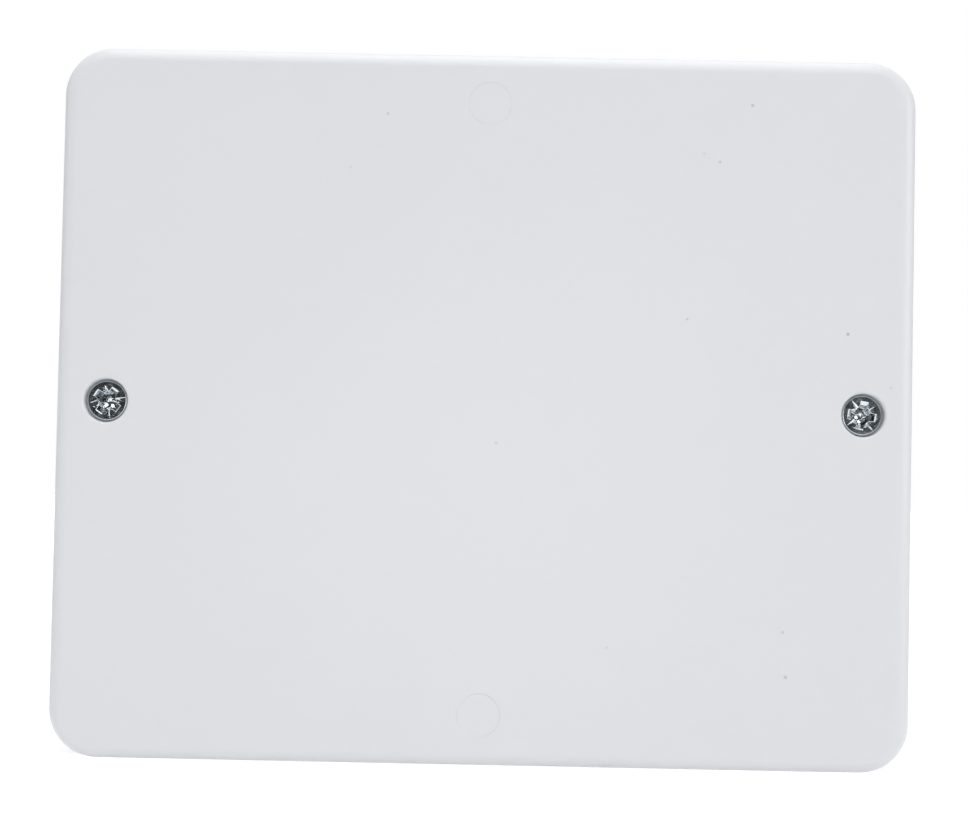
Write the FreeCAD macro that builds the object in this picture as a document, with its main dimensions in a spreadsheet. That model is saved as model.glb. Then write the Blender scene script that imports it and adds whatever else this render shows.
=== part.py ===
import FreeCAD, Part
import math
import os

import Sketcher
from FreeCAD import Placement, Rotation, Vector

# Flush back box with its screwed-on cover.
# Row frame: the origin is the centre of the box's rear face, +X is to the right,
# +Z is up, and the cover faces -Y.
# Each body is drawn lying down: its own z points out of the wall, towards the room.

# Driving sizes, in millimetres and degrees
SIZES = [
    # Back box, measured over its walls at the mouth
    ("box_width", 118.0),
    ("box_height", 96.0),
    ("box_depth", 50.0),
    ("box_corner", 5.8),
    ("box_wall", 2.0),
    ("box_floor", 2.0),
    ("box_draft", 1.0),
    ("box_rear_chamfer", 1.0),
    ("rim_overhang", 1.2),
    ("rim_height", 2.5),
    # Screw towers in the box's walls
    ("tower_inset", 1.75),
    ("tower_wall", 2.1),
    ("pilot_clearance", 0.05),
    ("pilot_spare", 2.0),
    # Round knock-outs in the walls and the floor, sunk from outside to a thin web
    ("knockout_diameter", 25.0),
    ("knockout_web", 0.9),
    ("knockout_depth", 26.0),
    ("knockout_column", 34.0),
    ("knockout_row", 27.0),
    # Holes that fix the box through its floor, one above the other
    ("fixing_diameter", 4.5),
    ("fixing_spacing", 60.0),
    # Ribs outside the long walls that key into the plaster, as the towers do on the short ones
    ("grip_offset", 9.0),
    ("grip_wall", 1.6),
    ("grip_length", 16.0),
    ("grip_height", 2.4),
    # Cover
    ("cover_overlap", 6.0),
    ("cover_corner", 7.4),
    ("cover_rise", 5.0),
    ("cover_edge", 2.2),
    ("cover_draft", 2.0),
    ("cover_skin", 2.0),
    ("cover_wall", 1.8),
    # Locating lip, bosses and ribs behind the cover
    ("lip_depth", 3.0),
    ("lip_wall", 1.2),
    ("lip_clearance", 0.3),
    ("boss_wall", 1.3),
    ("rib_wall", 1.0),
    ("rib_depth", 1.8),
    ("rib_column", 27.0),
    ("rib_row", 16.0),
    # Screw holes in the cover, and the marks of the two closed ones
    ("head_sink", 1.4),
    ("head_clearance", 0.2),
    ("hole_edge", 0.35),
    ("seat_clearance", 0.02),
    ("shank_clearance", 0.55),
    ("mark_depth", 0.05),
    # Cover screws
    ("head_diameter", 6.2),
    ("head_angle", 90.0),
    ("head_band", 0.35),
    ("shank_diameter", 2.8),
    ("screw_length", 20.0),
    # Cross recess, with the four pointed marks between its wings
    ("recess_span", 4.2),
    ("recess_foot", 1.8),
    ("recess_wing", 1.05),
    ("recess_depth", 2.2),
    ("core_diameter", 2.5),
    ("core_foot", 1.5),
    ("star_inner", 1.3),
    ("star_shoulder", 1.8),
    ("star_outer", 2.85),
    ("star_width", 0.44),
    ("star_depth", 0.15),
    # How far each screw is turned, from +X towards +Z
    ("turn_left", 55.0),
    ("turn_right", 80.0),
]

# Places and sizes that several pieces share, as expressions on the sheet
SCREW_X = "(Sizes.box_width / 2 - Sizes.tower_inset)"
SCREW_Y = "(Sizes.box_height / 2 - Sizes.tower_inset)"
PILOT_RADIUS = "(Sizes.shank_diameter / 2 + Sizes.pilot_clearance)"
TOWER_RADIUS = f"({PILOT_RADIUS} + Sizes.tower_wall)"
COVER_HOLLOW = "(Sizes.cover_rise - Sizes.cover_skin)"
HEAD_HOLE_RADIUS = "(Sizes.head_diameter / 2 + Sizes.head_clearance)"
BOSS_RADIUS = f"({HEAD_HOLE_RADIUS} + Sizes.boss_wall)"
HEAD_TOP = "(Sizes.cover_rise - Sizes.head_sink)"
HEAD_SLOPE = "tan(Sizes.head_angle / 2)"

# Facing out of the wall: a body's own z becomes the row's -Y
FACING_ROOM = Rotation(Vector(1, 0, 0), 90)


def value(expression):
    """The present value of an expression on the sheet."""
    return float(sheet.evalExpression(expression))


def new_sheet():
    """The spreadsheet that holds every driving size under its alias."""
    cells = doc.addObject("Spreadsheet::Sheet", "Sizes")
    for row, (alias, size) in enumerate(SIZES, start=1):
        cells.set(f"A{row}", str(size))
        cells.setAlias(f"A{row}", alias)
    doc.recompute()
    return cells


def new_body(label):
    """An empty body whose label names the piece."""
    body = doc.addObject("PartDesign::Body", label)
    body.Label = label
    return body


def origin_plane(body, role):
    """One of the body's own origin planes."""
    return next(item for item in body.Origin.OriginFeatures if item.Role == role)


def flat_sketch(body, name, height="0", role="XY_Plane"):
    """A sketch parallel to an origin plane, at a height above it."""
    sketch = body.newObject("Sketcher::SketchObject", name)
    sketch.AttachmentSupport = [(origin_plane(body, role), "")]
    sketch.MapMode = "FlatFace"
    if height != "0":
        sketch.setExpression("AttachmentOffset.Base.z", height)
    return sketch


def wall_sketch(body, name, role, half_width):
    """A sketch on a leaning outer wall of the box, with its origin at the mouth."""
    sketch = flat_sketch(body, name, half_width, role)
    lean = Rotation(Vector(1, 0, 0), value("Sizes.box_draft"))
    sketch.AttachmentOffset = Placement(Vector(0, 0, 0), lean)
    sketch.setExpression("AttachmentOffset.Base.y", "Sizes.box_depth")
    sketch.setExpression("AttachmentOffset.Rotation.Angle", "Sizes.box_draft")
    return sketch


def bind(sketch, constraint, expression):
    """Add a constraint and tie its size to the sheet."""
    index = sketch.addConstraint(constraint)
    sketch.setExpression(f"Constraints[{index}]", expression)


def locate(sketch, geometry, point, x, y):
    """Hold a point of the sketch at two expressions, or on an axis where one is 0."""
    if x == "0":
        sketch.addConstraint(Sketcher.Constraint("PointOnObject", geometry, point, -2))
    else:
        bind(sketch, Sketcher.Constraint("DistanceX", -1, 1, geometry, point, value(x)), x)
    if y == "0":
        sketch.addConstraint(Sketcher.Constraint("PointOnObject", geometry, point, -1))
    else:
        bind(sketch, Sketcher.Constraint("DistanceY", -1, 1, geometry, point, value(y)), y)


def circle(sketch, x, y, radius):
    """A circle with its centre at two expressions."""
    centre = Vector(value(x), value(y), 0)
    index = sketch.addGeometry(Part.Circle(centre, Vector(0, 0, 1), value(radius)))
    locate(sketch, index, 3, x, y)
    bind(sketch, Sketcher.Constraint("Radius", index, value(radius)), radius)


def polygon(sketch, corners):
    """A closed outline of straight lines through corners given as expressions."""
    points = [Vector(value(x), value(y), 0) for x, y in corners]
    lines = [
        sketch.addGeometry(Part.LineSegment(start, end))
        for start, end in zip(points, points[1:] + points[:1])
    ]
    for line, following in zip(lines, lines[1:] + lines[:1]):
        sketch.addConstraint(Sketcher.Constraint("Coincident", line, 2, following, 1))
    for line, (x, y) in zip(lines, corners):
        locate(sketch, line, 1, x, y)


def rectangle(sketch, x, y, width, height):
    """A rectangle about a centre, all four given as expressions."""
    left, right = f"({x} - {width} / 2)", f"({x} + {width} / 2)"
    low, high = f"({y} - {height} / 2)", f"({y} + {height} / 2)"
    polygon(sketch, [(left, low), (right, low), (right, high), (left, high)])


def rounded_rectangle(sketch, width, height, radius):
    """A rectangle about the origin with four equal round corners."""
    half_x, half_y, r = value(width) / 2, value(height) / 2, value(radius)
    corners = [(half_x - r, half_y - r), (r - half_x, half_y - r),
               (r - half_x, r - half_y), (half_x - r, r - half_y)]
    arcs = []
    lines = []
    for turn, (x, y) in enumerate(corners):
        start = turn * math.pi / 2
        ring = Part.Circle(Vector(x, y, 0), Vector(0, 0, 1), r)
        arcs.append(sketch.addGeometry(Part.ArcOfCircle(ring, start, start + math.pi / 2)))
    for turn, (x, y) in enumerate(corners):
        next_x, next_y = corners[(turn + 1) % 4]
        out = Vector(0, r, 0) if turn % 2 == 0 else Vector(-r, 0, 0)
        out = out if turn < 2 else -out
        line = Part.LineSegment(Vector(x, y, 0) + out, Vector(next_x, next_y, 0) + out)
        lines.append(sketch.addGeometry(line))
    for turn in range(4):
        following = arcs[(turn + 1) % 4]
        sketch.addConstraint(Sketcher.Constraint("Tangent", arcs[turn], 2, lines[turn], 1))
        sketch.addConstraint(Sketcher.Constraint("Tangent", lines[turn], 2, following, 1))
        direction = "Horizontal" if turn % 2 == 0 else "Vertical"
        sketch.addConstraint(Sketcher.Constraint(direction, lines[turn]))
    for arc in arcs[1:]:
        sketch.addConstraint(Sketcher.Constraint("Equal", arcs[0], arc))
    sketch.addConstraint(Sketcher.Constraint("Symmetric", arcs[0], 3, arcs[2], 3, -1, 1))
    across = Sketcher.Constraint("DistanceX", arcs[1], 3, arcs[0], 3, 2 * (half_x - r))
    upright = Sketcher.Constraint("DistanceY", arcs[3], 3, arcs[0], 3, 2 * (half_y - r))
    bind(sketch, across, f"{width} - 2 * {radius}")
    bind(sketch, upright, f"{height} - 2 * {radius}")
    bind(sketch, Sketcher.Constraint("Radius", arcs[0], r), radius)


def extrude(kind, sketch, length, backwards=False, taper="0", both_ways=False):
    """A Pad or Pocket of a sketch, checked to change the body's volume."""
    body = sketch.getParentGeoFeatureGroup()
    before = body.Shape.Volume if body.Tip else 0.0
    feature = body.newObject(f"PartDesign::{kind}", f"{sketch.Name}_{kind}")
    feature.Profile = sketch
    feature.Reversed = backwards
    feature.Midplane = both_ways
    feature.setExpression("Length", length)
    if taper != "0":
        feature.setExpression("TaperAngle", taper)
    doc.recompute()
    grown = body.Shape.Volume - before
    if (grown > 0) != (kind == "Pad") or grown == 0:
        raise RuntimeError(f"{feature.Name} changes the volume by {grown:.3f} mm3")
    return feature


def mirror(feature, role):
    """The same feature again on the other side of an origin plane."""
    body = feature.getParentGeoFeatureGroup()
    copy = body.newObject("PartDesign::Mirrored", f"{feature.Name}_Mirrored")
    copy.Originals = [feature]
    copy.MirrorPlane = (origin_plane(body, role), [""])
    body.Tip = copy
    doc.recompute()
    return copy


def dress_level(kind, body, name, height, size):
    """A Fillet or Chamfer along every edge that lies flat at one height."""
    tip = body.Tip
    names = [
        f"Edge{number}"
        for number, edge in enumerate(tip.Shape.Edges, start=1)
        if all(abs(corner.Z - height) < 1e-6 for corner in edge.Vertexes)
    ]
    feature = body.newObject(f"PartDesign::{kind}", name)
    feature.Base = (tip, names)
    feature.setExpression("Radius" if kind == "Fillet" else "Size", size)
    doc.recompute()


def side_circles(sketch, radius):
    """A circle on each of the two screw axes, right and left."""
    for x in (SCREW_X, f"-{SCREW_X}"):
        circle(sketch, x, "0", radius)


def end_circles(sketch, radius):
    """A circle on each of the two closed screw positions, top and bottom."""
    for y in (SCREW_Y, f"-{SCREW_Y}"):
        circle(sketch, "0", y, radius)


def box_shell(body):
    """The open box with its rim, tapering to the rear."""
    mouth = flat_sketch(body, "Mouth", "Sizes.box_depth")
    rounded_rectangle(mouth, "Sizes.box_width", "Sizes.box_height", "Sizes.box_corner")
    extrude("Pad", mouth, "Sizes.box_depth", backwards=True, taper="-Sizes.box_draft")
    dress_level("Chamfer", body, "Rear_Edge", 0.0, "Sizes.box_rear_chamfer")
    rim = flat_sketch(body, "Rim", "Sizes.box_depth")
    rounded_rectangle(
        rim,
        "(Sizes.box_width + 2 * Sizes.rim_overhang)",
        "(Sizes.box_height + 2 * Sizes.rim_overhang)",
        "(Sizes.box_corner + Sizes.rim_overhang)",
    )
    extrude("Pad", rim, "Sizes.rim_height", backwards=True)
    hollow = flat_sketch(body, "Hollow", "Sizes.box_depth")
    rounded_rectangle(
        hollow,
        "(Sizes.box_width - 2 * Sizes.box_wall)",
        "(Sizes.box_height - 2 * Sizes.box_wall)",
        "(Sizes.box_corner - Sizes.box_wall)",
    )
    depth = "(Sizes.box_depth - Sizes.box_floor)"
    extrude("Pocket", hollow, depth, taper="-Sizes.box_draft")


def box_towers(body):
    """Two screw towers that straddle the short walls and run down to the floor."""
    towers = flat_sketch(body, "Towers", "Sizes.box_depth")
    side_circles(towers, TOWER_RADIUS)
    height = "(Sizes.box_depth - Sizes.box_floor)"
    extrude("Pad", towers, height, backwards=True)
    pilots = flat_sketch(body, "Pilots", "Sizes.box_depth")
    side_circles(pilots, PILOT_RADIUS)
    extrude("Pocket", pilots, f"(Sizes.screw_length - {HEAD_TOP} + Sizes.pilot_spare)")


def box_knockouts(body):
    """Knock-outs: two in each wall and two in the floor."""
    radius = "(Sizes.knockout_diameter / 2)"
    walls = (
        ("Long_Walls", "XZ_Plane", "Sizes.box_height / 2", "Sizes.knockout_column"),
        ("Short_Walls", "YZ_Plane", "Sizes.box_width / 2", "Sizes.knockout_row"),
    )
    for name, role, half_width, offset in walls:
        discs = wall_sketch(body, f"{name}_Knockouts", role, half_width)
        for place in (offset, f"-{offset}"):
            circle(discs, place, "-Sizes.knockout_depth", radius)
        mirror(extrude("Pocket", discs, "(Sizes.box_wall - Sizes.knockout_web)"), role)
    discs = flat_sketch(body, "Floor_Knockouts")
    for column in ("Sizes.knockout_column", "-Sizes.knockout_column"):
        circle(discs, column, "0", radius)
    extrude("Pocket", discs, "(Sizes.box_floor - Sizes.knockout_web)", backwards=True)


def box_grips(body):
    """Two short ribs outside each long wall."""
    ribs = wall_sketch(body, "Grips", "XZ_Plane", "Sizes.box_height / 2")
    for offset in ("Sizes.grip_offset", "-Sizes.grip_offset"):
        rectangle(ribs, offset, "-Sizes.knockout_depth", "Sizes.grip_wall", "Sizes.grip_length")
    mirror(extrude("Pad", ribs, "Sizes.grip_height"), "XZ_Plane")


def box_fixing_holes(body):
    """Two holes on the floor's upright middle line, for screws into the masonry."""
    holes = flat_sketch(body, "Fixing_Holes")
    for y in ("Sizes.fixing_spacing / 2", "-Sizes.fixing_spacing / 2"):
        circle(holes, "0", y, "(Sizes.fixing_diameter / 2)")
    extrude("Pocket", holes, "Sizes.box_floor", backwards=True)


def back_box():
    """The moulded box. Its own z is 0 at the rear face."""
    body = new_body("back_box")
    box_shell(body)
    box_towers(body)
    box_knockouts(body)
    box_grips(body)
    box_fixing_holes(body)
    body.Placement = Placement(Vector(0, 0, 0), FACING_ROOM)
    return body


def cover_shell(body):
    """The plate with its rounded front edge, hollow behind."""
    width = "(Sizes.box_width + 2 * Sizes.cover_overlap)"
    height = "(Sizes.box_height + 2 * Sizes.cover_overlap)"
    outline = flat_sketch(body, "Outline")
    rounded_rectangle(outline, width, height, "Sizes.cover_corner")
    extrude("Pad", outline, "Sizes.cover_rise", taper="-Sizes.cover_draft")
    front = value("Sizes.cover_rise")
    dress_level("Fillet", body, "Front_Edge", front, "Sizes.cover_edge")
    hollow = flat_sketch(body, "Hollow")
    rounded_rectangle(
        hollow,
        f"({width} - 2 * Sizes.cover_wall)",
        f"({height} - 2 * Sizes.cover_wall)",
        "(Sizes.cover_corner - Sizes.cover_wall)",
    )
    extrude("Pocket", hollow, COVER_HOLLOW, backwards=True)


def cover_lip(body):
    """The rim that drops into the box's mouth, notched round the towers."""
    inset = "(Sizes.box_wall + Sizes.lip_clearance)"
    ring = flat_sketch(body, "Lip", "-Sizes.lip_depth")
    for depth in (inset, f"({inset} + Sizes.lip_wall)"):
        rounded_rectangle(
            ring,
            f"(Sizes.box_width - 2 * {depth})",
            f"(Sizes.box_height - 2 * {depth})",
            f"(Sizes.box_corner - {depth})",
        )
    extrude("Pad", ring, f"(Sizes.lip_depth + {COVER_HOLLOW})")
    notches = flat_sketch(body, "Lip_Notches", "-Sizes.lip_depth")
    side_circles(notches, f"({TOWER_RADIUS} + Sizes.lip_clearance)")
    extrude("Pocket", notches, "Sizes.lip_depth", backwards=True)


def cover_bosses(body):
    """Four bosses that stand on the box's towers and rim, two of them never opened."""
    bosses = flat_sketch(body, "Bosses")
    side_circles(bosses, BOSS_RADIUS)
    end_circles(bosses, BOSS_RADIUS)
    extrude("Pad", bosses, COVER_HOLLOW)


def cover_ribs(body):
    """Stiffening ribs behind the plate, from one side of the lip to the other."""
    level = f"({COVER_HOLLOW} - Sizes.rib_depth)"
    inset = "(Sizes.box_wall + Sizes.lip_clearance + Sizes.lip_wall / 2)"
    across = f"(Sizes.box_width - 2 * {inset})"
    upright = f"(Sizes.box_height - 2 * {inset})"
    rows = flat_sketch(body, "Rib_Rows", level)
    columns = flat_sketch(body, "Rib_Columns", level)
    for sign in ("", "-"):
        rectangle(rows, "0", f"{sign}Sizes.rib_row", across, "Sizes.rib_wall")
        rectangle(columns, f"{sign}Sizes.rib_column", "0", "Sizes.rib_wall", upright)
    extrude("Pad", rows, "Sizes.rib_depth")
    extrude("Pad", columns, "Sizes.rib_depth")


def cover_screw_holes(body):
    """The two open screw positions: sunk hole, conical seat and clearance hole."""
    hole = HEAD_HOLE_RADIUS
    clear = "(Sizes.shank_diameter / 2 + Sizes.shank_clearance)"
    shoulder = (f"({HEAD_TOP} - Sizes.head_band - Sizes.seat_clearance"
                f" - Sizes.head_diameter / 2 / {HEAD_SLOPE})")
    profile = [
        ("0", "Sizes.cover_rise"),
        (f"({hole} + Sizes.hole_edge)", "Sizes.cover_rise"),
        (hole, "(Sizes.cover_rise - Sizes.hole_edge)"),
        (hole, f"({shoulder} + {hole} / {HEAD_SLOPE})"),
        (clear, f"({shoulder} + {clear} / {HEAD_SLOPE})"),
        (clear, "0"),
        ("0", "0"),
    ]
    sketch = flat_sketch(body, "Screw_Hole", role="XZ_Plane")
    sketch.setExpression("AttachmentOffset.Base.x", SCREW_X)
    polygon(sketch, profile)
    groove = body.newObject("PartDesign::Groove", "Screw_Hole_Groove")
    groove.Profile = sketch
    groove.ReferenceAxis = (sketch, ["V_Axis"])
    groove.Angle = 360
    doc.recompute()
    mirror(groove, "YZ_Plane")


def cover_marks(body):
    """The faint round marks that the closed screw positions leave in front."""
    marks = flat_sketch(body, "Marks", "Sizes.cover_rise")
    end_circles(marks, HEAD_HOLE_RADIUS)
    extrude("Pocket", marks, "Sizes.mark_depth")


def cover():
    """The moulded cover. Its own z is 0 at the wall's surface."""
    body = new_body("cover")
    cover_shell(body)
    cover_lip(body)
    cover_bosses(body)
    cover_ribs(body)
    cover_screw_holes(body)
    cover_marks(body)
    body.Placement = Placement(Vector(0, 0, 0), FACING_ROOM)
    body.setExpression("Placement.Base.y", "-Sizes.box_depth")
    return body


def screw_blank(body):
    """The turned form: countersunk head with the core of its recess, and shank."""
    head = "(Sizes.head_diameter / 2)"
    shank = "(Sizes.shank_diameter / 2)"
    neck = f"(Sizes.head_band + ({head} - {shank}) / {HEAD_SLOPE})"
    profile = [
        ("0", "-Sizes.recess_depth"),
        ("Sizes.core_foot / 2", "-Sizes.recess_depth"),
        ("Sizes.core_diameter / 2", "0"),
        (head, "0"),
        (head, "-Sizes.head_band"),
        (shank, f"-{neck}"),
        (shank, "-Sizes.screw_length"),
        ("0", "-Sizes.screw_length"),
    ]
    sketch = flat_sketch(body, "Profile", role="XZ_Plane")
    polygon(sketch, profile)
    blank = body.newObject("PartDesign::Revolution", "Blank")
    blank.Profile = sketch
    blank.ReferenceAxis = (sketch, ["V_Axis"])
    blank.Angle = 360
    doc.recompute()


def screw_recess(body):
    """Four wings of the cross recess, and a pointed mark between each pair."""
    foot, span = "(Sizes.recess_foot / 2)", "(Sizes.recess_span / 2)"
    for name, role in (("Wings_Across", "XZ_Plane"), ("Wings_Upright", "YZ_Plane")):
        wings = flat_sketch(body, name, role=role)
        polygon(wings, [
            (f"-{span}", "0"),
            (f"-{foot}", "-Sizes.recess_depth"),
            (foot, "-Sizes.recess_depth"),
            (span, "0"),
        ])
        extrude("Pocket", wings, "Sizes.recess_wing", both_ways=True)
    star = flat_sketch(body, "Star")
    star.AttachmentOffset = Placement(Vector(0, 0, 0), Rotation(Vector(0, 0, 1), 45))
    polygon(star, [
        ("Sizes.star_inner", "0"),
        ("Sizes.star_shoulder", "-Sizes.star_width / 2"),
        ("Sizes.star_outer", "0"),
        ("Sizes.star_shoulder", "Sizes.star_width / 2"),
    ])
    mark = extrude("Pocket", star, "Sizes.star_depth")
    ring = body.newObject("PartDesign::PolarPattern", "Star_Ring")
    ring.Originals = [mark]
    ring.Axis = (star, ["N_Axis"])
    ring.Angle = 360
    ring.Occurrences = 4
    body.Tip = ring
    doc.recompute()


def cover_screw(side, sign, turn):
    """A cover screw. Its own z is 0 at the top of the head and runs along its axis."""
    body = new_body(f"cover_screw_{side}")
    screw_blank(body)
    screw_recess(body)
    spin = Rotation(Vector(0, 0, 1), value(turn))
    body.Placement = Placement(Vector(0, 0, 0), FACING_ROOM.multiply(spin))
    body.setExpression("Placement.Base.x", f"{sign}{SCREW_X}")
    body.setExpression("Placement.Base.y", f"-(Sizes.box_depth + {HEAD_TOP})")
    return body


def check(pieces):
    """Stop unless every feature was computed and every piece is one sound solid."""
    for item in doc.Objects:
        if "Invalid" in item.State or "Error" in item.State:
            raise RuntimeError(f"{item.Label} failed: {item.State}")
    for piece in pieces:
        shape = piece.Shape
        if shape.isNull() or not shape.isValid() or len(shape.Solids) != 1:
            raise RuntimeError(f"{piece.Label} is not one valid solid")


doc = FreeCAD.newDocument("FlushBackBox")
sheet = new_sheet()
pieces = [
    back_box(),
    cover(),
    cover_screw("left", "-", "Sizes.turn_left"),
    cover_screw("right", "", "Sizes.turn_right"),
]
doc.recompute()
check(pieces)
os.makedirs("parts", exist_ok=True)
for piece in pieces:
    piece.Shape.exportStep(f"parts/{piece.Label}.step")
    print(f"{piece.Label}: {piece.Shape.Volume / 1000:.3f} cm3")
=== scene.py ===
import math

import bmesh
import bpy
from mathutils import Euler, Matrix, Vector, noise


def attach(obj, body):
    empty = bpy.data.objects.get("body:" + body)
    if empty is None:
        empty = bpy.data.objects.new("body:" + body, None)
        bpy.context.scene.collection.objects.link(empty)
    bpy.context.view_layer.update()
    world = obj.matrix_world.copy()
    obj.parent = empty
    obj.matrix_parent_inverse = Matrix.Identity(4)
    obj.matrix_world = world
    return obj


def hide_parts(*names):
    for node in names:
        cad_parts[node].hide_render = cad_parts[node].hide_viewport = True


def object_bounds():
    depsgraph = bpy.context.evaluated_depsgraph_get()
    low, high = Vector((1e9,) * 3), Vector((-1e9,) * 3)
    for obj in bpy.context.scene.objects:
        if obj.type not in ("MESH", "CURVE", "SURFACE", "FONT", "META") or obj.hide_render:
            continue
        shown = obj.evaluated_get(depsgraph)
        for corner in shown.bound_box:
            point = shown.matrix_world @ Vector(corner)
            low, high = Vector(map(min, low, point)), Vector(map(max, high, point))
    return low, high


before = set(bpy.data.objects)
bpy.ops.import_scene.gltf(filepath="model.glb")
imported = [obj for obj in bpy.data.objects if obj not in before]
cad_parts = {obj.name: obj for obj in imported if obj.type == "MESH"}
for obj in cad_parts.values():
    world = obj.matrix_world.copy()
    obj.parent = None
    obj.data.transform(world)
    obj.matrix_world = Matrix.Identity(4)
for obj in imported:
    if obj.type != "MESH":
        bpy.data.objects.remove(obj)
CAD_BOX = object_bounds()

# The row frame: +X right, +Z up, the cover faces -Y and the box's rear face is at y = 0.
# Sizes are in millimetres unless they say otherwise, and MM turns them into metres.
MM = 0.001

# The box's mouth, in the wall's surface, and the cover's front face
WALL_Y = -50.0
COVER_RISE = 5.0
SCREW_X = 57.25
MARK_Z = 46.25

# Cover
COVER_HALF = (65.0, 54.0)
COVER_CORNER = 7.4
COVER_EDGE = 2.2
COVER_DRAFT = math.radians(2)
COVER_WALL = 1.8
COVER_HOLLOW = 3.0
COVER_REAR_EDGE = 0.15
CORNER_STEPS = 24
EDGE_STEPS = 14
LIP_HALF = (56.7, 45.7)
LIP_CORNER = 3.5
LIP_WALL = 1.2
LIP_DEPTH = 3.0
LIP_NOTCH_RADIUS = 3.85
BOSS_RADIUS = 4.6
RIB_DEPTH = 1.8
RIB_WALL = 1.0
RIB_COLUMN = 27.0
RIB_ROW = 16.0
HOLE_RADIUS = 3.3
HOLE_LIP = 0.42
HOLE_CLEARANCE_RADIUS = 1.95
# The heights between which a hole's conical seat runs
HOLE_SEAT = (2.08, 3.05)
MARK_RADIUS = 3.3
MARK_DEPTH = 0.05
MARK_SLOPE = 0.06
ROUND_STEPS = 96
HOLE_LIP_STEPS = 8
COVER_SHARP = math.radians(15)
# How deep the lip, bosses and rows of ribs reach into the plate. The columns of ribs stop
# short of that, so that where they cross the rows no two ends lie in one plane.
JOIN = 0.5
JOIN_COLUMN = 0.4
# How far a cut reaches past what it cuts
PAST = 1.0

# Cover screws: head, cross recess with its pointed marks, and threaded shank
HEAD_TOP = 3.6
HEAD_RADIUS = 3.1
HEAD_RIM = 0.23
RIM_BEVEL = 0.13
RIM_SLOPES = (0.4, 2.2)
HEAD_BAND = 0.35
NECK_RADIUS = 1.4
NECK_LENGTH = 3.6
SCREW_LENGTH = 20.0
THREAD_PITCH = 1.35
THREAD_CREST = 1.74
THREAD_CORE = 1.2
# The thread: half a crest's width as a share of the pitch, what is left of it at the end of
# the tip, and the rings of points in each turn
CREST_HALF = 0.24
THREAD_END = 0.2
THREAD_RINGS = 9
TIP_LENGTH = 2.2
TIP_BLUNT = 0.45
WING_WIDTH = 1.06
WING_REACH = 2.16
WAIST_RADIUS = 1.2
RECESS_DEPTH = 2.2
RECESS_LIP = 0.07
WALL_STEEPNESS = 12.0
END_STEEPNESS = 8.0
SHELF_SLOPE = 0.65
STAR_INNER = 1.15
STAR_SHOULDER = 1.45
BUMP_SLOPE = 0.3
FACET_SLOPE = 0.19
FACET_RAGGED = 0.6
FACET_GRAIN = 3
# Waves in the head's surface, as height and grain, and how soon they grow from its rim inwards
WAVES = ((0.012, 1.3), (0.006, 4))
WAVE_GROWTH = 2
SCREW_STEPS = 288
RECESS_RINGS = 105
SCREW_SHARP = math.radians(50)
# What differs between the screws: how far each is turned, the width of the shelf at the end
# of each wing, the pointed mark that follows each wing (width and slope of one side, below
# zero where it is the clockwise one, width and slope of the other side, and reach), and the
# bumps and facets (x, z, radius) that the driver left on the recess floor
SCREWS = {
    "left": {
        "centre": -SCREW_X,
        "turn": math.radians(55),
        "shelves": (0.3, 0.2, 0.14, 0.18),
        "marks": ((-0.42, 2.5, 0.0, 0.37, 2.35), (-0.34, 2.5, 0.0, 0.24, 2.75),
                  (0.17, 0.4, 0.03, 2.5, 2.95), (0.17, 0.35, 0.02, 2.5, 2.95)),
        "bumps": ((-0.14, 0.4, 0.45),),
        "facets": ((-0.58, -0.6, 0.26), (0.45, -0.6, 0.28)),
    },
    "right": {
        "centre": SCREW_X,
        "turn": math.radians(80),
        "shelves": (0.6, 0.34, 0.22, 0.26),
        "marks": ((-0.28, 0.2, 0.28, 0.2, 2.85), (-0.28, 0.25, 0.03, 2.5, 2.75),
                  (-0.38, 0.22, 0.03, 2.5, 2.85), (0.16, 0.2, 0.01, 2.5, 2.55)),
        "bumps": ((0.25, 0.42, 0.42),),
        "facets": ((-0.55, -0.21, 0.22), (-0.09, -0.89, 0.2)),
    },
}


def in_row(x, z, height):
    """A point in metres, from millimetres right and up and a height above the wall."""
    return Vector((x, WALL_Y - height, z)) * MM


def new_object(name, mesh_builder):
    """An object in the scene from a bmesh, with its normals turned outwards."""
    bmesh.ops.recalc_face_normals(mesh_builder, faces=mesh_builder.faces)
    mesh = bpy.data.meshes.new(name)
    mesh_builder.to_mesh(mesh)
    mesh_builder.free()
    piece = bpy.data.objects.new(name, mesh)
    bpy.context.scene.collection.objects.link(piece)
    return piece


def join_loops(builder, loops, last_to_first=False):
    """Closed loops of points, each joined to the next by quads."""
    rings = [[builder.verts.new(point) for point in loop] for loop in loops]
    following = rings[1:] + rings[:1] if last_to_first else rings[1:]
    for low, high in zip(rings, following):
        for index in range(len(low)):
            after = (index + 1) % len(low)
            builder.faces.new((low[index], low[after], high[after], high[index]))
    return rings


def skin_loops(builder, loops):
    """A solid from such loops, with a face on the first and the last."""
    rings = join_loops(builder, loops)
    builder.faces.new(rings[0])
    builder.faces.new(reversed(rings[-1]))


def rounded_loop(half, corner, inset, height):
    """A rounded rectangle at a height, drawn in by an inset."""
    radius = corner - inset
    centre_x, centre_z = half[0] - corner, half[1] - corner
    points = []
    for quarter in range(4):
        sign_x = 1 if quarter in (0, 3) else -1
        sign_z = 1 if quarter in (0, 1) else -1
        for step in range(CORNER_STEPS + 1):
            angle = (quarter + step / CORNER_STEPS) * math.pi / 2
            x = sign_x * centre_x + radius * math.cos(angle)
            z = sign_z * centre_z + radius * math.sin(angle)
            points.append(in_row(x, z, height))
    return points


def round_loop(x, z, radius, height):
    """A circle about an axis that stands square on the wall."""
    turns = (2 * math.pi * step / ROUND_STEPS for step in range(ROUND_STEPS))
    return [in_row(x + radius * math.cos(a), z + radius * math.sin(a), height) for a in turns]


def lathe(builder, x, z, profile):
    """A closed turned solid about such an axis, from (radius, height) pairs."""
    skin_loops(builder, [round_loop(x, z, radius, height) for radius, height in profile])


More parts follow.
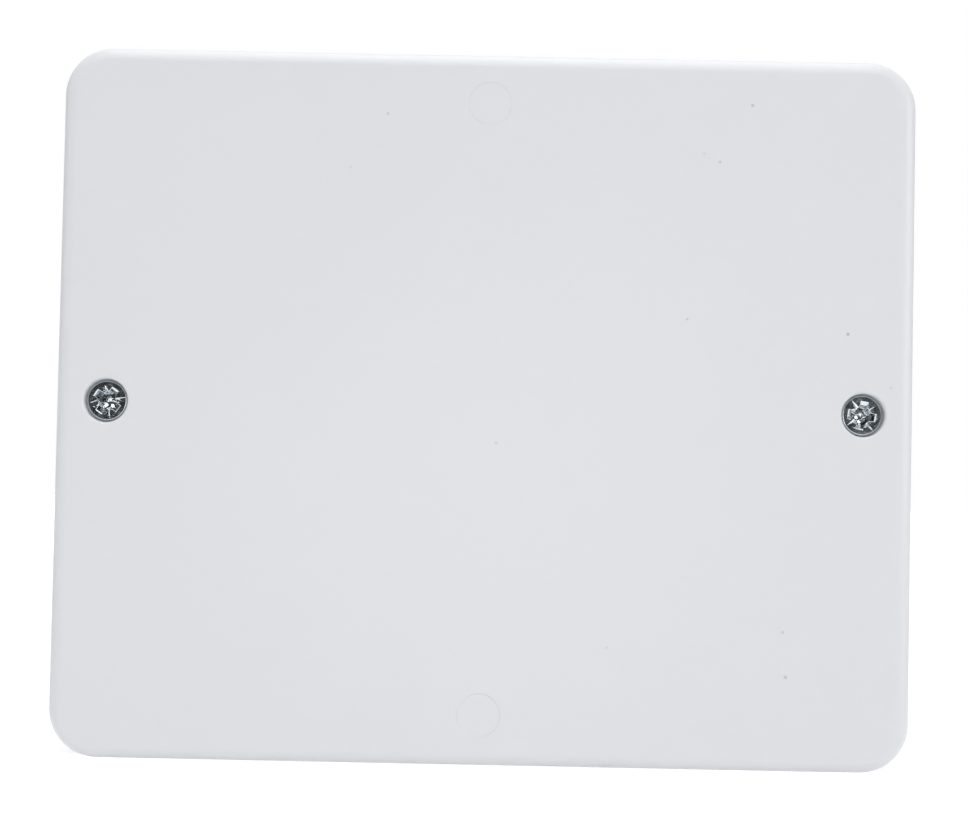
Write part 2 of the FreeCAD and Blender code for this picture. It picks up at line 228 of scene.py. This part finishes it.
def block(builder, low, high):
    """A rectangular solid between two (x, z, height) corners."""
    corners = [(low[0], low[1]), (high[0], low[1]), (high[0], high[1]), (low[0], high[1])]
    skin_loops(builder, [[in_row(x, z, level) for x, z in corners] for level in (low[2], high[2])])


def combine(piece, operation, build):
    """Join a solid to the piece, or cut it away, and apply the result at once."""
    builder = bmesh.new()
    build(builder)
    tool = new_object("tool", builder)
    modifier = piece.modifiers.new("combine", "BOOLEAN")
    modifier.operation = operation
    modifier.solver = "EXACT"
    modifier.object = tool
    bake(piece)
    bpy.data.objects.remove(tool)


def bake(piece):
    """Replace the piece's mesh by the result of its modifiers."""
    graph = bpy.context.evaluated_depsgraph_get()
    mesh = bpy.data.meshes.new_from_object(piece.evaluated_get(graph))
    piece.modifiers.clear()
    piece.data = mesh


def smooth(piece, sharp_angle):
    """Smooth shading that keeps flat faces flat and sharp edges sharp."""
    mesh = piece.data
    for face in mesh.polygons:
        face.use_smooth = True
    mesh.set_sharp_from_angle(angle=sharp_angle)
    weigh = piece.modifiers.new("weigh", "WEIGHTED_NORMAL")
    weigh.keep_sharp = True
    weigh.weight = 100


# Cover

def cover_tray():
    """The plate and its edge, with the drafted side and the rounded front edge."""
    low = COVER_REAR_EDGE
    centre_height = COVER_RISE - COVER_EDGE
    centre_inset = (COVER_EDGE + centre_height * math.sin(COVER_DRAFT)) / math.cos(COVER_DRAFT)
    profile = [
        (COVER_WALL, COVER_HOLLOW),
        (COVER_WALL, low),
        (COVER_WALL - low, 0.0),
        (low, 0.0),
        (low * math.tan(COVER_DRAFT), low),
    ]
    for step in range(EDGE_STEPS + 1):
        angle = COVER_DRAFT + (math.pi / 2 - COVER_DRAFT) * step / EDGE_STEPS
        inset = centre_inset - COVER_EDGE * math.cos(angle)
        profile.append((inset, centre_height + COVER_EDGE * math.sin(angle)))
    builder = bmesh.new()
    loops = [rounded_loop(COVER_HALF, COVER_CORNER, inset, height) for inset, height in profile]
    skin_loops(builder, loops)
    return new_object("cover_plate", builder)


def cover_lip(builder):
    """The ring behind the plate that drops into the box's mouth."""
    top = COVER_HOLLOW + JOIN
    profile = [(LIP_WALL, top), (LIP_WALL, -LIP_DEPTH), (0.0, -LIP_DEPTH), (0.0, top)]
    loops = [rounded_loop(LIP_HALF, LIP_CORNER, inset, height) for inset, height in profile]
    join_loops(builder, loops, last_to_first=True)


def cover_lip_notches(builder):
    """Room for the box's two screw towers."""
    for x in (-SCREW_X, SCREW_X):
        lathe(builder, x, 0, [(LIP_NOTCH_RADIUS, -LIP_DEPTH - PAST), (LIP_NOTCH_RADIUS, 0.0)])


def cover_bosses(builder):
    """Four bosses that stand on the box's rim, two of them with screws."""
    for x, z in ((-SCREW_X, 0), (SCREW_X, 0), (0, -MARK_Z), (0, MARK_Z)):
        lathe(builder, x, z, [(BOSS_RADIUS, 0.0), (BOSS_RADIUS, COVER_HOLLOW + JOIN)])


def cover_rib_rows(builder):
    """Stiffening ribs along X."""
    for z in (-RIB_ROW, RIB_ROW):
        end = LIP_HALF[0] - LIP_WALL / 2
        block(builder, (-end, z - RIB_WALL / 2, COVER_HOLLOW - RIB_DEPTH),
              (end, z + RIB_WALL / 2, COVER_HOLLOW + JOIN))


def cover_rib_columns(builder):
    """Stiffening ribs along Z."""
    for x in (-RIB_COLUMN, RIB_COLUMN):
        end = LIP_HALF[1] - LIP_WALL / 2
        block(builder, (x - RIB_WALL / 2, -end, COVER_HOLLOW - RIB_DEPTH),
              (x + RIB_WALL / 2, end, COVER_HOLLOW + JOIN_COLUMN))


def cover_screw_holes(builder):
    """What the two open screw positions cut away, with their rounded lips."""
    lip = []
    for step in range(HOLE_LIP_STEPS + 1):
        angle = math.pi / 2 * step / HOLE_LIP_STEPS
        radius = HOLE_RADIUS + HOLE_LIP * (1 - math.sin(angle))
        lip.append((radius, COVER_RISE - HOLE_LIP * (1 - math.cos(angle))))
    flare = HOLE_RADIUS + HOLE_LIP
    profile = [
        (HOLE_CLEARANCE_RADIUS, -PAST),
        (HOLE_CLEARANCE_RADIUS, HOLE_SEAT[0]),
        (HOLE_RADIUS, HOLE_SEAT[1]),
    ]
    profile += [(radius, height) for radius, height in reversed(lip)]
    profile += [(flare, COVER_RISE + PAST)]
    for x in (-SCREW_X, SCREW_X):
        lathe(builder, x, 0, profile)


def cover_marks(builder):
    """The shallow discs of the two closed screw positions."""
    for z in (-MARK_Z, MARK_Z):
        profile = [
            (MARK_RADIUS - MARK_SLOPE, COVER_RISE - MARK_DEPTH),
            (MARK_RADIUS, COVER_RISE),
            (MARK_RADIUS, COVER_RISE + PAST),
        ]
        lathe(builder, 0, z, profile)


def cover_plate():
    """The whole moulded cover."""
    piece = cover_tray()
    for build in (cover_bosses, cover_lip, cover_rib_rows, cover_rib_columns):
        combine(piece, "UNION", build)
    for build in (cover_lip_notches, cover_screw_holes, cover_marks):
        combine(piece, "DIFFERENCE", build)
    smooth(piece, COVER_SHARP)
    return piece


# Screws

def lipped(inside):
    """The depth of a steep wall with a rounded upper edge, from how far inside it a point is."""
    if inside <= -RECESS_LIP:
        return 0.0
    if inside >= 0:
        return RECESS_LIP + inside * WALL_STEEPNESS
    return RECESS_LIP - math.sqrt(RECESS_LIP ** 2 - (inside + RECESS_LIP) ** 2)


def cross_inside(u, v):
    """How far inside the sides of the cross a point of its first quadrant is."""
    half = WING_WIDTH / 2
    centre = half + WAIST_RADIUS
    if u < centre and v < centre:
        return math.hypot(centre - u, centre - v) - WAIST_RADIUS
    return half - min(u, v)


def wing_end(inside, shelf):
    """The depth at a wing's end: a sloping shelf, and a steep wall below it."""
    if inside <= 0:
        return 0.0
    return min(inside, shelf) * SHELF_SLOPE + max(0.0, inside - shelf) * END_STEEPNESS


def mark_depth(radius, angle, marks):
    """The depth of the pointed marks between the wings, which have two sides each."""
    quarter = int(angle / (math.pi / 2)) % 4
    width, slope, other_width, other_slope, reach = marks[quarter]
    turn = angle - (quarter + 0.5) * math.pi / 2
    along, across = radius * math.cos(turn), math.copysign(radius, width) * math.sin(turn)
    rise = (along - STAR_INNER) / (STAR_SHOULDER - STAR_INNER)
    size = min(1.0, rise, (reach - along) / (reach - STAR_SHOULDER))
    near = (abs(width) * size - across) * slope
    far = (other_width * size + across) * other_slope
    return max(0.0, min(near, far)) if size > 0 else 0.0


def floor_depth(x, z, details):
    """The depth of the recess floor, with its bumps and facets turned to the camera."""
    depth = RECESS_DEPTH
    for bump_x, bump_z, size in details["bumps"]:
        depth -= BUMP_SLOPE * max(0.0, size - math.hypot(x - bump_x, z - bump_z))
    for facet_x, facet_z, size in details["facets"]:
        ragged = FACET_RAGGED * noise.noise(Vector((x * FACET_GRAIN, z * FACET_GRAIN, size)))
        if math.hypot(x - facet_x, z - facet_z) < size * (1 + ragged):
            depth -= math.copysign(FACET_SLOPE, details["centre"]) * (x - facet_x)
    return depth


def head_depth(radius, angle, details):
    """How far the top of the head lies below its flat face, at a point of it."""
    u, v = radius * math.cos(angle), radius * math.sin(angle)
    x = radius * math.cos(angle + details["turn"])
    z = radius * math.sin(angle + details["turn"])
    shelf = details["shelves"][round(angle / (math.pi / 2)) % 4]
    end = wing_end(WING_REACH - max(abs(u), abs(v)), shelf)
    recess = min(floor_depth(x, z, details), end, lipped(cross_inside(abs(u), abs(v))))
    over = max(0.0, radius - (HEAD_RADIUS - HEAD_RIM))
    rim = over * RIM_SLOPES[0] + max(0.0, over - RIM_BEVEL) * RIM_SLOPES[1]
    return max(recess, mark_depth(radius, angle, details["marks"])) + rim


def shank_profile():
    """(radius, depth, thread) rings of the screw below its rim."""
    slope_end = HEAD_BAND + HEAD_RADIUS - NECK_RADIUS
    rings = [
        (HEAD_RADIUS, HEAD_BAND, 0.0),
        (NECK_RADIUS, slope_end, 0.0),
        (NECK_RADIUS, NECK_LENGTH, 0.0),
    ]
    steps = int((SCREW_LENGTH - NECK_LENGTH) / THREAD_PITCH * THREAD_RINGS)
    for step in range(1, steps + 1):
        depth = NECK_LENGTH + (SCREW_LENGTH - NECK_LENGTH) * step / steps
        run_in = min(1.0, (depth - NECK_LENGTH) / THREAD_PITCH)
        taper = min(1.0, (SCREW_LENGTH - depth + THREAD_END) / TIP_LENGTH)
        rings.append((NECK_RADIUS + (THREAD_CORE - NECK_RADIUS) * run_in, depth, run_in * taper))
    return rings


def screw(side):
    """A cover screw, turned as far as in the photograph."""
    details = SCREWS[side]
    centre, turn = details["centre"], details["turn"]
    angles = [2 * math.pi * step / SCREW_STEPS for step in range(SCREW_STEPS)]

    def ring(radius, depth, thread):
        points = []
        for angle in angles:
            phase = (depth / THREAD_PITCH - angle / (2 * math.pi)) % 1.0
            crest = max(0.0, 1 - abs(phase - 0.5) / CREST_HALF)
            r = radius + (THREAD_CREST - THREAD_CORE) * crest * thread
            if depth > SCREW_LENGTH - TIP_LENGTH:
                r *= TIP_BLUNT + (1 - TIP_BLUNT) * math.sqrt((SCREW_LENGTH - depth) / TIP_LENGTH)
            x, z = r * math.cos(angle + turn), r * math.sin(angle + turn)
            points.append(in_row(centre + x, z, HEAD_TOP - depth))
        return points

    loops = []
    for step in range(1, RECESS_RINGS + 1):
        radius = HEAD_RADIUS * step / RECESS_RINGS
        points = []
        for angle in angles:
            x, z = radius * math.cos(angle + turn), radius * math.sin(angle + turn)
            wave = sum(height * noise.noise(Vector((x * grain, z * grain, centre)))
                       for height, grain in WAVES)
            depth = head_depth(radius, angle, details)
            depth += wave * min(1.0, WAVE_GROWTH * (1 - radius / HEAD_RADIUS))
            points.append(in_row(centre + x, z, HEAD_TOP - depth))
        loops.append(points)
    loops += [ring(*section) for section in shank_profile()]
    builder = bmesh.new()
    skin_loops(builder, loops)
    piece = new_object(f"screw_{side}", builder)
    smooth(piece, SCREW_SHARP)
    return piece


# Camera

# The photograph's frame in pixels, and the focal length that its perspective gives
PHOTO_WIDTH = 968
FOCAL_PIXELS = 2000
SENSOR_WIDTH = 36.0
# How the camera sees the cover: turned about its own right, down and forward axes, then
# moved along them, from the centre of the cover's front face
CAMERA_TURN = Euler([math.radians(angle) for angle in (-2.104, 0.22, 1.143)])
CAMERA_SHIFT = Vector((0.045, -1.325, 301.86))


def add_camera():
    """The photograph's camera."""
    turn = CAMERA_TURN.to_matrix()
    eye = -(turn.transposed() @ CAMERA_SHIFT)
    right, down, forward = turn
    axes = [Vector((axis.x, axis.z, -axis.y)) for axis in (right, -down, -forward)]
    lens = bpy.data.cameras.new("camera")
    lens.sensor_width = SENSOR_WIDTH
    lens.lens = FOCAL_PIXELS / PHOTO_WIDTH * SENSOR_WIDTH
    lens.clip_start = 0.01
    camera = bpy.data.objects.new("camera", lens)
    camera.matrix_world = Matrix(axes).transposed().to_4x4()
    camera.location = in_row(eye.x, -eye.y, COVER_RISE - eye.z)
    bpy.context.scene.collection.objects.link(camera)
    bpy.context.scene.camera = camera


# Light and backdrop

# How strongly the room lights the object, and what gloss sees of it at the sides, above (from
# one height of the way to another) and on the dark side behind the camera
AMBIENT = 0.45
GLOSS_SIDES = 0.6
GLOSS_ABOVE = 1.0
GLOSS_FROM, GLOSS_TO = 0.1, 0.8
DARK_SIDE = 0.04
DARK_WAY = (-0.24, -0.97, 0.05)
DARK_FROM, DARK_TO = math.radians(36), math.radians(22)
# Brighter parts of the room that only gloss sees: the way to each, and its strength
GLOWS = {"right": ((0.88, -0.47, 0.0), 3.0), "left": ((-0.9, -0.43, 0.0), 0.8)}
GLOW_FROM, GLOW_TO = math.radians(28), math.radians(8)

# The floor's gap below the object, half its width and its tone
FLOOR_GAP = 0.0005
FLOOR_REACH = 6.0
FLOOR_TONE = 0.92
# The glow that camera and gloss see on it, near the object and (between two distances) far off
FLOOR_LIFT = 0.42
LIFT_FROM, LIFT_TO = 0.3, 1.5
# Where the camera sees it go from shadow to white below the cover, and the brighter strip
# that gloss sees on both sides of that line
SHADOW_Y, WHITE_Y = -0.044, -0.048
FLOOR_EDGE = 1.25
EDGE_Y = -0.0475
EDGE_FROM, EDGE_TO = 0.017, 0.024


def nodes_of(owner):
    """The node tree of a material or world, emptied."""
    owner.use_nodes = True
    tree = owner.node_tree
    tree.nodes.clear()
    return tree


def add_node(tree, kind, inputs=(), **settings):
    """A node with its settings, and its inputs set or linked by name or number."""
    node = tree.nodes.new(kind)
    for name, setting in settings.items():
        setattr(node, name, setting)
    for key, source in dict(inputs).items():
        if isinstance(source, bpy.types.NodeSocket):
            tree.links.new(source, node.inputs[key])
        else:
            node.inputs[key].default_value = source
    return node


def math_node(tree, operation, *values):
    """A math node's result."""
    node = add_node(tree, "ShaderNodeMath", enumerate(values), operation=operation)
    return node.outputs[0]


def add_world():
    """A white room with soft light, and a dark side behind the camera that only gloss sees."""
    world = bpy.data.worlds.new("room")
    bpy.context.scene.world = world
    tree = nodes_of(world)
    path = add_node(tree, "ShaderNodeLightPath")
    place = add_node(tree, "ShaderNodeTexCoord")

    def around(way, limits, outside, inside):
        """A value that changes between two angles about a way in the room."""
        towards = add_node(tree, "ShaderNodeVectorMath",
                           {0: place.outputs["Generated"], 1: way}, operation="DOT_PRODUCT")
        node = add_node(tree, "ShaderNodeMapRange", {
            "Value": towards.outputs["Value"],
            "From Min": math.cos(limits[0]), "From Max": math.cos(limits[1]),
            "To Min": outside, "To Max": inside,
        }, interpolation_type="SMOOTHSTEP")
        return node.outputs[0]

    height = add_node(tree, "ShaderNodeSeparateXYZ", {0: place.outputs["Generated"]})
    sides = add_node(tree, "ShaderNodeMapRange", {
        "Value": height.outputs["Z"], "From Min": GLOSS_FROM, "From Max": GLOSS_TO,
        "To Min": GLOSS_SIDES, "To Max": GLOSS_ABOVE,
    }, interpolation_type="SMOOTHSTEP")
    gloss = around(DARK_WAY, (DARK_FROM, DARK_TO), sides.outputs[0], DARK_SIDE)
    for way, strength in GLOWS.values():
        glow = around(way, (GLOW_FROM, GLOW_TO), 0.0, strength)
        gloss = math_node(tree, "ADD", gloss, glow)
    seen = math_node(tree, "MAXIMUM", path.outputs["Is Camera Ray"],
                     path.outputs["Is Transmission Ray"])
    glossy = math_node(tree, "MULTIPLY", path.outputs["Is Glossy Ray"], gloss)
    white = math_node(tree, "ADD", seen, glossy)
    direct = math_node(tree, "MAXIMUM", seen, path.outputs["Is Glossy Ray"])
    diffuse = math_node(tree, "MULTIPLY", math_node(tree, "SUBTRACT", 1.0, direct), AMBIENT)
    strength = math_node(tree, "ADD", white, diffuse)
    background = add_node(tree, "ShaderNodeBackground",
                          {"Color": (1, 1, 1, 1), "Strength": strength})
    output = add_node(tree, "ShaderNodeOutputWorld")
    tree.links.new(background.outputs[0], output.inputs["Surface"])


# Square soft lights that point at the cover: place and side in metres, power in watts
LIGHTS = {
    "overhead": ((0.0, -0.2, 1.3), 0.8, 6.0),
    "above_camera": ((0.1, -1.2, 1.2), 1.0, 5.9),
    "right_front": ((1.0, -0.75, 0.1), 0.5, 0.64),
    "right_side": ((1.2, -0.15, 0.1), 0.6, 1.1),
    "overhead_back": ((0.0, 0.5, 1.2), 0.8, 1.8),
    "front": ((0.0, -0.36, 0.0), 0.07, 0.06),
}


def add_lights():
    """Large soft lights overhead and at the right, and a weak small one near the camera."""
    for name, (place, side, power) in LIGHTS.items():
        light = bpy.data.lights.new(name, "AREA")
        light.size = side
        light.energy = power
        lamp = bpy.data.objects.new(name, light)
        lamp.visible_camera = False
        lamp.location = place
        aim = Vector((0, WALL_Y * MM, 0)) - lamp.location
        lamp.rotation_euler = aim.to_track_quat("-Z", "Y").to_euler()
        bpy.context.scene.collection.objects.link(lamp)


def add_floor():
    """A plain pale floor right below the object, which keeps the shadow behind the cover."""
    builder = bmesh.new()
    height = CAD_BOX[0].z - FLOOR_GAP
    corners = [(-1, -1), (1, -1), (1, 1), (-1, 1)]
    builder.faces.new([
        builder.verts.new((x * FLOOR_REACH, y * FLOOR_REACH, height)) for x, y in corners
    ])
    floor = new_object("floor", builder)
    material = bpy.data.materials.new("floor_white")
    tree = nodes_of(material)
    path = add_node(tree, "ShaderNodeLightPath")
    paper = add_node(tree, "ShaderNodeBsdfDiffuse",
                     {"Color": (FLOOR_TONE, FLOOR_TONE, FLOOR_TONE, 1)})
    place = add_node(tree, "ShaderNodeNewGeometry")
    away = add_node(tree, "ShaderNodeVectorMath", {0: place.outputs["Position"]},
                    operation="LENGTH")
    level = add_node(tree, "ShaderNodeMapRange", {
        "Value": away.outputs["Value"], "From Min": LIFT_FROM, "From Max": LIFT_TO,
        "To Min": FLOOR_LIFT, "To Max": 1.0,
    }, interpolation_type="SMOOTHSTEP")
    depth = add_node(tree, "ShaderNodeSeparateXYZ", {0: place.outputs["Position"]}).outputs["Y"]
    front = add_node(tree, "ShaderNodeMapRange", {
        "Value": depth, "From Min": SHADOW_Y, "From Max": WHITE_Y,
        "To Min": level.outputs[0], "To Max": 1.0,
    })
    edge = add_node(tree, "ShaderNodeMapRange", {
        "Value": math_node(tree, "ABSOLUTE", math_node(tree, "SUBTRACT", depth, EDGE_Y)),
        "From Min": EDGE_FROM, "From Max": EDGE_TO,
        "To Min": FLOOR_EDGE, "To Max": level.outputs[0],
    })
    to_camera = math_node(tree, "MULTIPLY", path.outputs["Is Camera Ray"], front.outputs[0])
    to_gloss = math_node(tree, "MULTIPLY", path.outputs["Is Glossy Ray"], edge.outputs[0])
    lift = add_node(tree, "ShaderNodeEmission", {
        "Color": (1, 1, 1, 1), "Strength": math_node(tree, "ADD", to_camera, to_gloss),
    })
    both = add_node(tree, "ShaderNodeAddShader", {0: paper.outputs[0], 1: lift.outputs[0]})
    output = add_node(tree, "ShaderNodeOutputMaterial")
    tree.links.new(both.outputs[0], output.inputs["Surface"])
    floor.data.materials.append(material)


# Materials

# The two colours that each material varies between, that of dust and of the painted shade along
# the closed screw marks, and that of the painted shade on the recess walls
COVER_TONES = (0.768, 0.776, 0.806), (0.774, 0.782, 0.812)
BOX_TONES = (0.545, 0.555, 0.570), (0.575, 0.585, 0.600)
ZINC_TONES = (0.53, 0.58, 0.62), (0.66, 0.71, 0.75)
DUST_AND_SHADE_TONE = (0.10, 0.10, 0.11)
RECESS_SHADE_TONE = (0.10, 0.11, 0.12)
# The roughness that each varies between
COVER_ROUGHNESS = (0.36, 0.39)
BOX_ROUGHNESS = (0.48, 0.6)
ZINC_ROUGHNESS = (0.06, 0.12)
PLASTIC_IOR = 1.49
# Cells of noise per metre
COVER_CELLS = 18.0
MARK_SHADE_CELLS = 400.0
BOX_CELLS = 30.0
BOX_GRAIN_CELLS = 2600.0
ZINC_CELLS = 900.0
# The middle part of the noise, which is stretched over the whole variation
NOISE_LOW, NOISE_HIGH = 0.3, 0.7
# The box's softened edges and its grain, in metres
BOX_EDGE = 0.0003
BOX_GRAIN_DEPTH = 0.00006
BOX_GRAIN_STRENGTH = 0.35
# How far a wall of the recess faces the camera where the painted shade on it starts and ends
RECESS_SHADE_FROM, RECESS_SHADE_TO = -0.6, -0.3


def principled(name, inputs):
    """A material with one principled shader, and its tree."""
    material = bpy.data.materials.new(name)
    tree = nodes_of(material)
    shader = add_node(tree, "ShaderNodeBsdfPrincipled", inputs)
    output = add_node(tree, "ShaderNodeOutputMaterial")
    tree.links.new(shader.outputs[0], output.inputs["Surface"])
    return material, tree, shader


def noise_field(tree, scale, detail=2.0, roughness=0.5):
    """Noise over the object's own space, with a scale in cells per metre."""
    place = add_node(tree, "ShaderNodeTexCoord")
    field = add_node(tree, "ShaderNodeTexNoise", {
        "Vector": place.outputs["Object"], "Scale": scale,
        "Detail": detail, "Roughness": roughness,
    })
    return field.outputs["Fac"]


def spread(tree, value, low, high):
    """A noise value stretched to a range."""
    node = add_node(tree, "ShaderNodeMapRange", {
        "Value": value, "From Min": NOISE_LOW, "From Max": NOISE_HIGH,
        "To Min": low, "To Max": high,
    })
    return node.outputs[0]


def tone(tree, factor, dark, light):
    """A colour between two, by a factor."""
    mix = add_node(tree, "ShaderNodeMix", {"Factor": factor}, data_type="RGBA")
    mix.inputs[6].default_value = (*dark, 1)
    mix.inputs[7].default_value = (*light, 1)
    return mix.outputs[2]


# Specks of dust on the cover's face: x, z and radius in millimetres, and how dark they are
SPECKS = (
    (54.7, 12.2, 0.38, 0.55), (39.8, 46.7, 0.4, 0.42), (46.0, -39.6, 0.45, 0.36),
    (45.5, -32.9, 0.36, 0.32), (35.0, 38.0, 0.36, 0.32), (30.4, 14.0, 0.3, 0.34),
    (-15.5, 44.4, 0.36, 0.28), (1.9, -5.3, 0.4, 0.2), (61.3, 4.2, 0.32, 0.2),
    (19.1, -35.7, 0.36, 0.16), (32.6, 39.2, 0.32, 0.16), (-21.0, 36.1, 0.3, 0.16),
)
# The painted shade line round each closed screw mark, at the foot of its step: half its width, and
# how dark it gets
MARK_LINE = 0.11
MARK_SHADE = 0.18


def dust_and_shade(tree):
    """How dark each place is, from the dust specks and from the painted shade along the lines of
    the closed screw marks.
    """
    place = add_node(tree, "ShaderNodeTexCoord")
    amount = 0.0
    for x, z, radius, strength in SPECKS:
        gap = add_node(tree, "ShaderNodeVectorMath", {
            0: place.outputs["Object"], 1: in_row(x, z, COVER_RISE),
        }, operation="DISTANCE")
        speck = add_node(tree, "ShaderNodeMapRange", {
            "Value": gap.outputs["Value"], "From Min": radius * MM, "From Max": 0.0,
            "To Min": 0.0, "To Max": strength,
        }, interpolation_type="SMOOTHSTEP")
        amount = math_node(tree, "MAXIMUM", amount, speck.outputs[0])
    # Painted shade: a thin, patchy dark ring at the foot of each closed mark's sunk step.
    for z in (-MARK_Z, MARK_Z):
        gap = add_node(tree, "ShaderNodeVectorMath", {
            0: place.outputs["Object"], 1: in_row(0, z, COVER_RISE),
        }, operation="DISTANCE")
        off = math_node(tree, "SUBTRACT", gap.outputs["Value"], (MARK_RADIUS - MARK_SLOPE) * MM)
        line = add_node(tree, "ShaderNodeMapRange", {
            "Value": math_node(tree, "ABSOLUTE", off),
            "From Min": MARK_LINE * MM, "From Max": 0.0,
            "To Min": 0.0, "To Max": spread(tree, noise_field(tree, MARK_SHADE_CELLS), 0.0, MARK_SHADE),
        })
        amount = math_node(tree, "MAXIMUM", amount, line.outputs[0])
    return amount


def cover_material():
    """White moulded plastic with a satin gloss, a little dust, and painted shade along the closed
    screw marks.
    """
    material, tree, shader = principled("cover_plastic", {"IOR": PLASTIC_IOR})
    broad = noise_field(tree, COVER_CELLS)
    color = tone(tree, spread(tree, broad, 0, 1), *COVER_TONES)
    dusty_and_shaded = add_node(tree, "ShaderNodeMix", {"Factor": dust_and_shade(tree), 6: color}, data_type="RGBA")
    dusty_and_shaded.inputs[7].default_value = (*DUST_AND_SHADE_TONE, 1)
    tree.links.new(dusty_and_shaded.outputs[2], shader.inputs["Base Color"])
    tree.links.new(spread(tree, broad, *COVER_ROUGHNESS), shader.inputs["Roughness"])
    return material


def box_material():
    """Light grey moulded plastic with a fine matt texture."""
    material, tree, shader = principled("box_plastic", {"IOR": PLASTIC_IOR})
    broad = noise_field(tree, BOX_CELLS)
    grain = noise_field(tree, BOX_GRAIN_CELLS, detail=4.0, roughness=0.6)
    color = tone(tree, spread(tree, broad, 0, 1), *BOX_TONES)
    tree.links.new(color, shader.inputs["Base Color"])
    tree.links.new(spread(tree, grain, *BOX_ROUGHNESS), shader.inputs["Roughness"])
    soft_edge = add_node(tree, "ShaderNodeBevel", {"Radius": BOX_EDGE}, samples=4)
    bump = add_node(tree, "ShaderNodeBump", {
        "Height": grain, "Strength": BOX_GRAIN_STRENGTH, "Distance": BOX_GRAIN_DEPTH,
        "Normal": soft_edge.outputs[0],
    })
    tree.links.new(bump.outputs[0], shader.inputs["Normal"])
    return material


def screw_material():
    """Bright zinc plate, with painted shade on the steep walls deep in the recess."""
    material, tree, shader = principled("screw_zinc", {"Metallic": 1.0})
    patches = noise_field(tree, ZINC_CELLS, detail=3.0)
    color = tone(tree, spread(tree, patches, 0, 1), *ZINC_TONES)
    # Painted shade: steep walls sunk below the head's band are darkened towards a dark tone, in
    # place of the shadow deep in the recess.
    place = add_node(tree, "ShaderNodeNewGeometry")
    facing = add_node(tree, "ShaderNodeSeparateXYZ", {0: place.outputs["Normal"]})
    steep = add_node(tree, "ShaderNodeMapRange", {
        "Value": facing.outputs["Y"], "From Min": RECESS_SHADE_FROM, "From Max": RECESS_SHADE_TO,
    })
    position = add_node(tree, "ShaderNodeSeparateXYZ", {0: place.outputs["Position"]})
    sunk = add_node(tree, "ShaderNodeMapRange", {
        "Value": position.outputs["Y"],
        "From Min": (WALL_Y - HEAD_TOP + HEAD_BAND) * MM,
        "From Max": (WALL_Y - HEAD_TOP + 2 * HEAD_BAND) * MM,
    })
    recess_shaded = add_node(tree, "ShaderNodeMix", {
        "Factor": math_node(tree, "MULTIPLY", steep.outputs[0], sunk.outputs[0]), 6: color,
    }, data_type="RGBA")
    recess_shaded.inputs[7].default_value = (*RECESS_SHADE_TONE, 1)
    tree.links.new(recess_shaded.outputs[2], shader.inputs["Base Color"])
    tree.links.new(spread(tree, patches, *ZINC_ROUGHNESS), shader.inputs["Roughness"])
    return material


def dress(node, material):
    """Give a CAD node a finer material in its own slots."""
    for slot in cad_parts[node].material_slots:
        slot.material = material


plate = cover_plate()
plate.data.materials.clear()
plate.data.materials.append(cover_material())
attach(plate, "root")
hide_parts("cover")
dress("back_box", box_material())
zinc = screw_material()
for side in SCREWS:
    piece = screw(side)
    piece.data.materials.append(zinc)
    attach(piece, "root")
    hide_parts(f"cover_screw_{side}")
add_camera()
add_world()
add_lights()
add_floor()
bpy.context.scene.view_settings.view_transform = "Standard"
